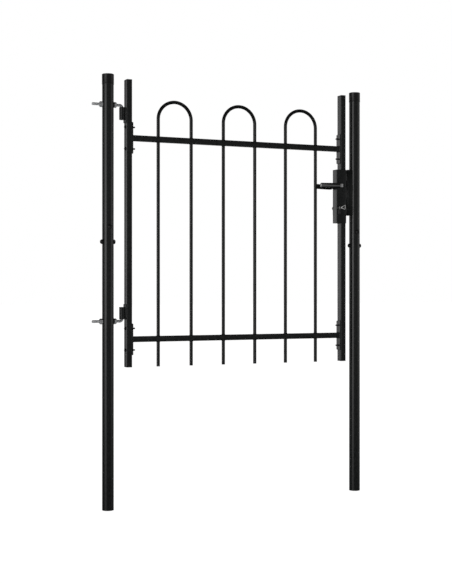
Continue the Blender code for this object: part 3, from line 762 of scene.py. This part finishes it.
def build_stile(node):
    """A rectangular tube with rolled corners."""
    size = extent(node)
    wall, dressing = 1.5 * MM, 0.25 * MM

    def outline(inset):
        corner = max(2.4 * MM - inset, 0.8 * MM)
        return rounded_rectangle(size.x - 2 * inset, size.y - 2 * inset, corner)

    levels = [(outline(-reach), height)
              for reach, height in wall_profile(-wall, 0, 0, size.z, dressing)]
    foot = middle(node)
    foot.z = low(node).z
    look(node, stacked(node, foot, Z, levels, closed=True), "powder_coat", "leaf")


def build_stile_plug(node, outward):
    """A push-in plug: ribbed spigot in the tube, flange with a rounded and crowned outer face."""
    size = extent(node)
    flange = 4.7 * MM
    crown = 0.5 * MM
    edge = 0.8 * MM
    corner = 2.4 * MM
    wall = 1.5 * MM
    spigot = size.z - flange
    base = middle(node)
    base.z = low(node).z if outward > 0 else high(node).z

    def outline(inset, radius=0.8 * MM):
        return rounded_rectangle(size.x - 2 * inset, size.y - 2 * inset, radius)

    rib, groove = outline(wall + 0.3 * MM), outline(wall + 0.9 * MM)
    levels = [(outline(wall + 1.0 * MM), 0)]
    for i in range(1, 5):
        height = spigot * i / 5
        levels += [(rib, height - 1.0 * MM), (groove, height)]
    levels += [
        (groove, spigot), (outline(0.15 * MM, corner - 0.2 * MM), spigot),
        (outline(0, corner), spigot + 0.2 * MM),
    ]
    side_end = spigot + flange - crown - edge
    for i in range(6):
        angle = pi / 2 * i / 5
        levels.append((outline(edge * (1 - cos(angle)), corner), side_end + edge * sin(angle)))
    levels.append((outline(4.5 * MM, 2.0 * MM), spigot + flange - 0.15 * MM))
    levels.append((outline(8.5 * MM, 0.6 * MM), spigot + flange))
    look(node, stacked(node, base, Z * outward, levels), "black_plastic", "leaf")


def bar_places():
    """The x of each of the six bars, from the three hoops' boxes."""
    places = []
    for number in (1, 2, 3):
        node = f"hoop_{number}"
        places += [low(node).x + BAR_RADIUS, high(node).x - BAR_RADIUS]
    return places


def build_rail(node):
    """A square tube between two end plates, with weld beads at the plates and at every bar."""
    size = 20 * MM
    corner = 2.2 * MM
    thickness = 4 * MM
    plates = extent(node)
    height = middle(node).z
    outline = rounded_rectangle(size, size, corner)
    tube_start = at(low(node).x + thickness / 2, height)
    meshes = [stacked("tube", tube_start, X, [(outline, 0), (outline, plates.x - thickness)])]
    weld = rounded_rectangle(size + 0.6 * MM, size + 0.6 * MM, corner, 5)
    for face_x, direction in ((low(node).x, X), (high(node).x, -X)):
        face = at(face_x, height)
        meshes.append(slab("plate", face, direction, plates.y, plates.z, PLATE_CORNER, thickness,
                           0.5 * MM))
        ring = raised(weld, face, direction, thickness + 0.3 * MM)
        meshes.append(bead(subdivided(ring), X, 1.5 * MM, closed=True))
    for x in bar_places():
        for side in (-1, 1):
            spot = at(x, height + side * (size / 2 + 0.1 * MM))
            ring = arc(spot, X, Y, BAR_RADIUS + 0.3 * MM, 0, 2 * pi * 47 / 48, 47)
            meshes.append(bead(ring, Z, 1.1 * MM, closed=True))
    look(node, joined(node, *meshes), "powder_coat", "leaf")


def subdivided(ring, step=1.0 * MM):
    """Adds points along the long sides of a closed ring."""
    points = []
    for a, b in zip(ring, ring[1:] + ring[:1]):
        count = max(1, round((b - a).length / step))
        points += [a.lerp(b, i / count) for i in range(count)]
    return points


def build_hoop(node):
    """One round bar bent over its top, with lightly dressed cut ends."""
    left, right = low(node).x + BAR_RADIUS, high(node).x - BAR_RADIUS
    arch = (right - left) / 2
    bottom = low(node).z
    spring_z = high(node).z - BAR_RADIUS - arch
    dressing = 0.5 * MM
    straight = 2 * MM

    path = [at(left, bottom), at(left, bottom + dressing)]
    path += line(at(left, bottom + straight), at(left, spring_z - straight), 8)
    path += arc(at((left + right) / 2, spring_z), -X, Z, arch, 0, pi, 64)
    path += line(at(right, spring_z - straight), at(right, bottom + straight), 8)
    path += [at(right, bottom + dressing), at(right, bottom)]
    total = 2 * (spring_z - bottom) + pi * arch

    def section(distance, _):
        end = min(distance, total - distance) < 0.1 * MM
        return circle(BAR_RADIUS - (dressing if end else 0), 40)

    look(node, sweep(node, path, Y, section), "powder_coat", "leaf")


def build_rail_bolts():
    """Mushroom-headed bolts through the stiles into the end plates; their tips show inside."""
    for side, axis in (("hinge", -X), ("latch", X)):
        for level in ("lower", "upper"):
            for word in ("under", "over"):
                build_rail_bolt(f"{side}_side_bolt_{word}_{level}_rail", axis)


def build_rail_bolt(node, axis):
    head_height = 4.5 * MM
    overlap = 0.5 * MM
    ends = (low(node).x, high(node).x)
    head_end, tip = ends if axis.x < 0 else ends[::-1]
    seat = at(head_end, middle(node).z) - axis * head_height
    head = domed_head("head", seat, axis, 6 * MM, head_height)
    tail = threaded_end("tail", seat + axis * overlap, -axis, 3 * MM, abs(tip - seat.x) + overlap)
    look(node, joined(node, head, tail), "dark_fastener", "leaf")


# Lock

def build_lock():
    build_case()
    build_lever("front_lever", -1)
    build_lever("rear_lever", 1)
    build_cylinder()
    build_key()
    for node in ("hinge_post_sleeve", "latch_post_sleeve"):
        repaint(node, "dark_fastener")
    for node in ("follower", "follower_spring", "spindle", "latch_bolt", "dead_bolt",
                 "cylinder_plug"):
        repaint(node, "bright_steel")


def repaint(node, finish):
    """Gives a CAD node that stays as it is the look of its finish."""
    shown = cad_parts[node]
    shown.data.materials.clear()
    shown.data.materials.append(FINISHES[finish])


def cylinder_axis():
    """A point on the cylinder's axis, one radius below its top."""
    return at(middle("lock_cylinder").x, high("lock_cylinder").z - CYLINDER_RADIUS)


def build_case():
    """A folded sheet case with lids welded in at both ends, and its forend with two screws."""
    node = "lock_case"
    size = extent(node)
    foot = at(middle(node).x, low(node).z)
    edge = 0.5 * MM
    lid = 0.9 * MM
    room_inset = 1.8 * MM
    roof = 2 * MM

    def outline(inset):
        corner = max(2.0 * MM - inset, 0.3 * MM)
        return rounded_rectangle(size.x - 2 * inset, size.y - 2 * inset, corner)

    rim = ((2.0 * MM, lid), (1.4 * MM, lid), (1.3 * MM, 0.1 * MM), (edge, 0), (0, edge))
    levels = [(outline(inset), depth) for inset, depth in rim]
    levels += [(outline(inset), size.z - depth) for inset, depth in reversed(rim)]
    shell = stacked("shell", foot, Z, levels)
    room = stacked("room", foot, Z, [(outline(room_inset), roof), (outline(room_inset), size.z - roof)])
    hub_room = turned("hub_room", middle("spindle") - Y * 30 * MM, Y, in_mm((6.6, 0), (6.6, 60)), 48)
    profile = lock_profile(0.25 * MM)
    lock_room = stacked("lock_room", cylinder_axis() - Y * 40 * MM, Y,
                        [(profile, 0), (profile, 80 * MM)])
    mesh = carve(node, shell, [room, hub_room, lock_room, *bolt_slots()])
    look(node, mesh, "powder_coat", "leaf")
    build_forend()
    build_case_welds()


def bolt_slots():
    """Boxes round both bolts' noses, through whatever stands to their right."""
    right = high("lock_case").x
    slots = []
    for node in ("latch_bolt", "dead_bolt"):
        low_y, high_y = low(node).y - BOLT_ROOM, high(node).y + BOLT_ROOM
        low_z, high_z = low(node).z - BOLT_ROOM, high(node).z + BOLT_ROOM
        outline = [(low_y, low_z), (high_y, low_z), (high_y, high_z), (low_y, high_z)]
        rings = [[Vector((x, a, b)) for a, b in outline] for x in (right - 5 * MM, right + 3 * MM)]
        slots.append(skin("slot", rings))
    return slots


def build_forend():
    """The lock's face plate on the case's right side, slotted for both bolts, with its screws."""
    case_right = high("lock_case").x
    height = middle("lock_case").z
    thickness = 1.2 * MM
    face = at(case_right - 0.3 * MM, height)
    plate = slab("forend", face, X, 20 * MM, 176 * MM, PLATE_CORNER, thickness, 0.3 * MM)
    piece("lock_forend", carve("forend", plate, bolt_slots()), "satin_alloy", "leaf")
    for number, side in ((1, -1), (2, 1)):
        seat = at(case_right + thickness - 0.5 * MM, height + side * 81 * MM)
        head = recessed_head("forend_screw", seat, X, 3.4 * MM, 0.8 * MM)
        piece(f"lock_forend_screw_{number}", head, "zinc", "leaf")


def recessed_head(name, seat, axis, radius, height):
    """A low screw head with a crossed recess."""
    profile = [(radius, 0), (radius, height * 0.3)]
    for i in range(1, 7):
        angle = pi / 2 * i / 6
        profile.append((max(radius * cos(angle), 0.03 * MM), height * (0.3 + 0.7 * sin(angle))))
    head = turned(name, seat, axis, profile, 40)
    across, up = sideways(axis)
    depth = seat + axis * height * 0.35
    cutters = []
    for long_way, short_way in ((across, up), (up, across)):
        rings = []
        for level in (0, 3 * radius):
            middle_point = depth + axis * level
            rings.append([middle_point + long_way * a * radius * 0.55 + short_way * b * radius * 0.16
                          for a, b in ((-1, -1), (1, -1), (1, 1), (-1, 1))])
        cutters.append(skin("recess", rings))
    return carve(name, head, cutters)


def build_case_welds():
    """Beads where the case is welded in between the two lengths of the latch stile."""
    stile_x = middle("latch_stile_upper").x
    size = extent("latch_stile_upper")
    outline = rounded_rectangle(size.x + 0.4 * MM, size.y + 0.2 * MM, 2.4 * MM, 5)
    meshes = []
    for z in (high("lock_case").z, low("lock_case").z):
        ring = raised(outline, at(stile_x, z), Z, 0)
        meshes.append(bead(subdivided(ring), Z, 1.0 * MM, closed=True))
    piece("lock_case_welds", joined("welds", *meshes), "powder_coat", "leaf")


def build_lever(node, side):
    """A cast lever: collar, round neck, an elbow with a flat, and a grip that leans in.

    Places are given as (distance to the left of the spindle, distance from the leaf's middle).
    """
    spindle = middle("spindle")
    seat_out = extent("lock_case").y / 2 + 0.3 * MM
    axis = Y * side
    collar = turned("collar", Vector((spindle.x, side * seat_out, spindle.z)), axis,
                    in_mm((8.6, 0), (9.0, 0.4), (9.0, 2.6), (8.6, 3.0), (7.4, 3.2), (7.0, 3.7),
                          (6.4, 4.6)), 64)
    half_thick = 4.5 * MM
    half_tall = extent(node).z / 2
    crest = max(abs(low(node).y), abs(high(node).y)) - half_thick
    tip_left, tip_out = spindle.x - low(node).x, 23 * MM
    bend, flat_length, ease = 3.5 * MM, 9 * MM, 10 * MM
    slope = radians(7)
    neck_radius = 5.4 * MM

    def place(left, out):
        return Vector((spindle.x - left, side * out, spindle.z))

    corner_out = crest - flat_length * sin(slope) - ease * (1 - cos(slope))
    neck_out = corner_out - bend * cos(slope)
    path = line(place(0, seat_out + 3.5 * MM), place(0, neck_out), 6)
    neck_length = (path[6] - path[0]).length
    path += arc(place(bend, neck_out), X, axis, bend, 0, pi / 2 - slope, 10)[1:]
    flat_left = bend * (1 - sin(slope)) + flat_length * cos(slope)
    path += line(path[-1], place(flat_left, corner_out + flat_length * sin(slope)), 8)[1:]
    ease_centre = place(flat_left + ease * sin(slope), crest - ease)
    path += arc(ease_centre, X, axis, ease, pi / 2 - slope, pi / 2, 4)[1:]
    crest_left = flat_left + ease * sin(slope)
    for i in range(1, 41):
        share = i / 40
        path.append(place(crest_left + (tip_left - crest_left) * share,
                          crest - (crest - tip_out) * share ** 1.35))
    total = sum((b - a).length for a, b in zip(path, path[1:]))
    elbow_end = neck_length + bend * (pi / 2 - slope) + flat_length

    def grip_section(lower_fold, fold):
        """A flat front face between two folds, with the top and the foot sloping back."""
        return filleted([
            (-half_tall, half_thick - 0.4 * (half_tall + lower_fold), 0.6 * MM),
            (lower_fold, half_thick, 0.8 * MM), (fold, half_thick, 0.8 * MM),
            (half_tall, half_thick - 0.55 * (half_tall - fold), 0.8 * MM),
            (half_tall, -half_thick, 1.4 * MM), (0.5 * half_tall, -half_thick, 1.4 * MM),
            (-half_tall, -0.2 * MM, 0.8 * MM),
        ], 5)

    def section(distance, _):
        # turn goes from the round neck to the flat-faced grip, past from the elbow to the grip
        turn = smooth_share(distance, neck_length * 0.7, neck_length + 6 * MM)
        past = smooth_share(distance, elbow_end - 1.5 * MM, elbow_end + 2.5 * MM)
        along = max(0.0, (distance - elbow_end) / (total - elbow_end))
        lower_fold = (past - 1) * 6.5 * MM - past * (4 + 1.5 * along) * MM
        fold = (1 - past) * 6 * MM + past * (0.3 + 5.5 * along ** 2) * MM
        nose = smooth_nose(total - distance, 5 * MM)
        points = []
        for height, out in grip_section(lower_fold, fold):
            corner = Vector((height, out))
            spot = (corner.normalized() * neck_radius).lerp(corner, turn)
            points.append((spot.x * (0.6 + 0.4 * nose), spot.y * (0.3 + 0.7 * nose) * side))
        return points

    body = sweep("grip", path, Z, section, sharp=50)
    look(node, joined(node, collar, body), "satin_alloy", "lever_set")


def smooth_share(value, start, end):
    """0 before start, 1 after end, and a smooth step between them."""
    share = min(1.0, max(0.0, (value - start) / (end - start)))
    return share * share * (3 - 2 * share)


def smooth_nose(left, nose):
    """The height of a quarter circle over the last stretch before an end, and 1 before it."""
    return sqrt(max(0.0, 1 - max(0.0, 1 - left / nose) ** 2))


def build_cylinder():
    """The profile cylinder with softened end faces; the plug turns in its front bore."""
    node = "lock_cylinder"
    centre = cylinder_axis()
    front = low(node).y
    length = extent(node).y
    edge = 0.5 * MM
    full, inset = lock_profile(0), lock_profile(-edge)
    start = Vector((centre.x, front, centre.z))
    shell = stacked("shell", start, Y,
                    [(inset, 0), (full, edge), (full, length - edge), (inset, length)])
    plug_room = 5.8 * MM
    plug_end = 4.5 * MM
    before = 5 * MM
    bore = turned("bore", start - Y * before, Y,
                  [(plug_room, 0), (plug_room, plug_end - front + before)], 48)
    cam_room = turned("cam_room", centre - Y * 4.2 * MM, Y, in_mm((14, 0), (14, 8.4)), 48)
    look(node, carve(node, shell, [bore, cam_room]), "dark_fastener", "leaf")


def build_key():
    """A flat key with a cut blade, a shoulder and a tapered bow with a window.

    Its outlines are in millimetres from the middle of the bow's outer edge: (inwards, up, rounding).
    """
    node = "key"
    thickness, length, height = (value / MM for value in extent(node))
    start = Vector((cylinder_axis().x, low(node).y, cylinder_axis().z))
    half, blade, neck = height / 2, 4, 2.8
    neck_end, shoulder = 27, 39.5

    def flat(name, corners, thick, steps=6, shift=0.0):
        outline = filleted(in_mm(*corners), steps)
        return skin(name, [[start + Vector(((shift + side * thick / 2) * MM, inwards, up))
                            for inwards, up in outline] for side in (-1, 1)])

    body = flat("blade", [
        (length, -blade, 0.4), (length, blade - 2.6, 0.4), (length - 3, blade, 0.4),
        (shoulder, blade, 0.3), (shoulder, blade + 1.2, 0.3), (shoulder - 2.5, blade + 1.2, 0.3),
        (shoulder - 3.2, neck, 0.3), (neck_end, neck, 2),
        (1.4, half, 1.2), (0, half - 1.2, 0.8), (0, -half + 1.2, 0.8), (1.4, -half, 1.2),
        (neck_end, -neck, 2), (shoulder - 3.2, -neck, 0.3), (shoulder - 2.5, -blade, 0.3),
    ], thickness)
    window = [(23, 1.6, 0.8), (2.5, 6.9, 0.8), (2.5, -6.9, 0.8), (23, -1.6, 0.8)]
    cutters = [flat("window", window, 4 * thickness)]
    for i, depth in enumerate((1.6, 2.4, 1.2, 2.0)):
        cut = length - 5.5 - 3.2 * i
        notch = [(cut + 1.6, blade + 1, 0.1), (cut + 0.5, blade - depth, 0.2),
                 (cut - 0.5, blade - depth, 0.2), (cut - 1.6, blade + 1, 0.1)]
        cutters.append(flat("notch", notch, 4 * thickness, 2))
    groove = [(length + 2, -0.6, 0.1), (shoulder, -0.6, 0.1), (shoulder, 0.8, 0.1),
              (length + 2, 0.8, 0.1)]
    for side in (-1, 1):
        cutters.append(flat("groove", groove, thickness / 2, 2, side * thickness / 2))
    look(node, carve(node, body, cutters, 0.25 * MM), "bright_steel", "key_set")


# Strike

def build_strike():
    """A bent channel with round bends, slotted for both bolts, and its two screws."""
    node = "strike_plate"
    corner = low(node)
    size = extent(node)
    half, depth = size.y / 2, size.x
    sheet = 2 * MM
    outer, inner, edge = 3.2 * MM, 1.2 * MM, 0.3 * MM
    outline = filleted([
        (0, -half, outer), (depth, -half, edge), (depth, -half + sheet, edge),
        (sheet, -half + sheet, inner), (sheet, half - sheet, inner), (depth, half - sheet, edge),
        (depth, half, edge), (0, half, outer),
    ])
    rings = [[Vector((corner.x + a, b, z)) for a, b in outline] for z in (corner.z, high(node).z)]
    body = skin("channel", rings)
    cutters = []
    room, rounding = 2 * MM, 1.5 * MM
    for bolt in ("latch_bolt", "dead_bolt"):
        height = middle(bolt).z
        half_y, half_z = extent(bolt).y / 2 + room, extent(bolt).z / 2 + room
        slot = filleted([(-half_y, -half_z, rounding), (half_y, -half_z, rounding),
                         (half_y, half_z, rounding), (-half_y, half_z, rounding)], 4)
        rings = [[Vector((x, a, height + b)) for a, b in slot]
                 for x in (corner.x - 3 * MM, corner.x + 5 * MM)]
        cutters.append(skin("slot", rings))
    look(node, carve(node, body, cutters, edge), "powder_coat", "posts")
    build_strike_screw("strike_lower_screw")
    build_strike_screw("strike_upper_screw")


def build_strike_screw(node):
    height = 1.6 * MM
    seat = at(low(node).x + height, middle(node).z)
    head = recessed_head("head", seat, -X, 4 * MM, height)
    shank = threaded_end("shank", seat - X * 0.2 * MM, X, 2 * MM, high(node).x - seat.x, 1.4 * MM)
    look(node, joined(node, head, shank), "zinc", "posts")


# Room, light and camera

def build_stage():
    """A pale seamless floor."""
    mesh = bpy.data.meshes.new("floor")
    reach = 40.0
    mesh.from_pydata([(-reach, -reach, 0), (reach, -reach, 0), (reach, reach, 0), (-reach, reach, 0)],
                     [], [(0, 1, 2, 3)])
    floor = linked("floor", mesh)
    made, _, shader = principled("pale_floor")
    shader.inputs["Base Color"].default_value = (0.82, 0.82, 0.82, 1)
    shader.inputs["Roughness"].default_value = 0.9
    shader.inputs["Specular IOR Level"].default_value = 0.0
    shader.inputs["Emission Color"].default_value = (1, 1, 1, 1)
    shader.inputs["Emission Strength"].default_value = 1.0
    mesh.materials.append(made)
    floor.visible_glossy = False


def tall_panel(tree, level_direction, azimuth, inner, outer, radiance):
    """A tall soft panel round the studio; its azimuth is in degrees left of the front."""
    centre = (-sin(radians(azimuth)), -cos(radians(azimuth)), 0)
    facing = shader_node(tree, "ShaderNodeVectorMath", {1: centre}, operation="DOT_PRODUCT")
    tree.links.new(level_direction, facing.inputs[0])
    return ramp(tree, facing.outputs["Value"], cos(radians(outer)), cos(radians(inner)),
                0.0, radiance, "SMOOTHSTEP")


def build_world():
    """A white cyclorama to the camera; for the gloss, a dim room with tall soft panels."""
    world = bpy.data.worlds.new("studio")
    bpy.context.scene.world = world
    world.use_nodes = True
    tree = world.node_tree
    background = tree.nodes["Background"]
    background.inputs["Color"].default_value = (1, 1, 1, 1)
    coordinates = shader_node(tree, "ShaderNodeTexCoord")
    split = shader_node(tree, "ShaderNodeSeparateXYZ")
    tree.links.new(coordinates.outputs["Generated"], split.inputs["Vector"])
    flat = shader_node(tree, "ShaderNodeVectorMath", {1: (1, 1, 0)}, operation="MULTIPLY")
    tree.links.new(coordinates.outputs["Generated"], flat.inputs[0])
    level_direction = shader_node(tree, "ShaderNodeVectorMath", operation="NORMALIZE")
    tree.links.new(flat.outputs[0], level_direction.inputs[0])
    panels = 0.0
    for azimuth, inner, outer, radiance in PANELS:
        panel = tall_panel(tree, level_direction.outputs[0], azimuth, inner, outer, radiance)
        panels = maths(tree, "ADD", panels, panel)
    height = split.outputs["Z"]
    foot = ramp(tree, height, *PANEL_FOOT, 0.02, 1.0, "SMOOTHSTEP")
    top = ramp(tree, height, *PANEL_TOP, 1.0, 0.0, "SMOOTHSTEP")
    lit = maths(tree, "MULTIPLY", panels, maths(tree, "MULTIPLY", foot, top))
    room = ramp(tree, height, -0.5, 0.1, 0.2 * ROOM, ROOM, "SMOOTHSTEP")
    level = maths(tree, "ADD", lit, room)
    path = shader_node(tree, "ShaderNodeLightPath")
    seen = shader_node(tree, "ShaderNodeMix", data_type="FLOAT")
    tree.links.new(path.outputs["Is Camera Ray"], seen.inputs[0])
    tree.links.new(level, seen.inputs[2])
    seen.inputs[3].default_value = 1.0
    tree.links.new(seen.outputs[0], background.inputs["Strength"])


def build_camera():
    """A level camera below the latch's height, to the left of the hinge post and in front."""
    camera = bpy.data.cameras.new("camera")
    camera.sensor_width = 36
    camera.lens = CAMERA_LENS
    camera.shift_y = CAMERA_SHIFT
    holder = linked("camera", camera)
    holder.location = (middle("hinge_post_lower_tube").x - CAMERA_LEFT, -CAMERA_FRONT, CAMERA_HEIGHT)
    holder.rotation_euler = (pi / 2, 0, CAMERA_TURN)
    bpy.context.scene.camera = holder
    bpy.context.scene.view_settings.view_transform = "Standard"


def main():
    build_camera()
    build_posts()
    build_joint_bolts()
    build_hinges()
    build_leaf_frame()
    build_lock()
    build_strike()
    build_stage()
    build_world()


main()
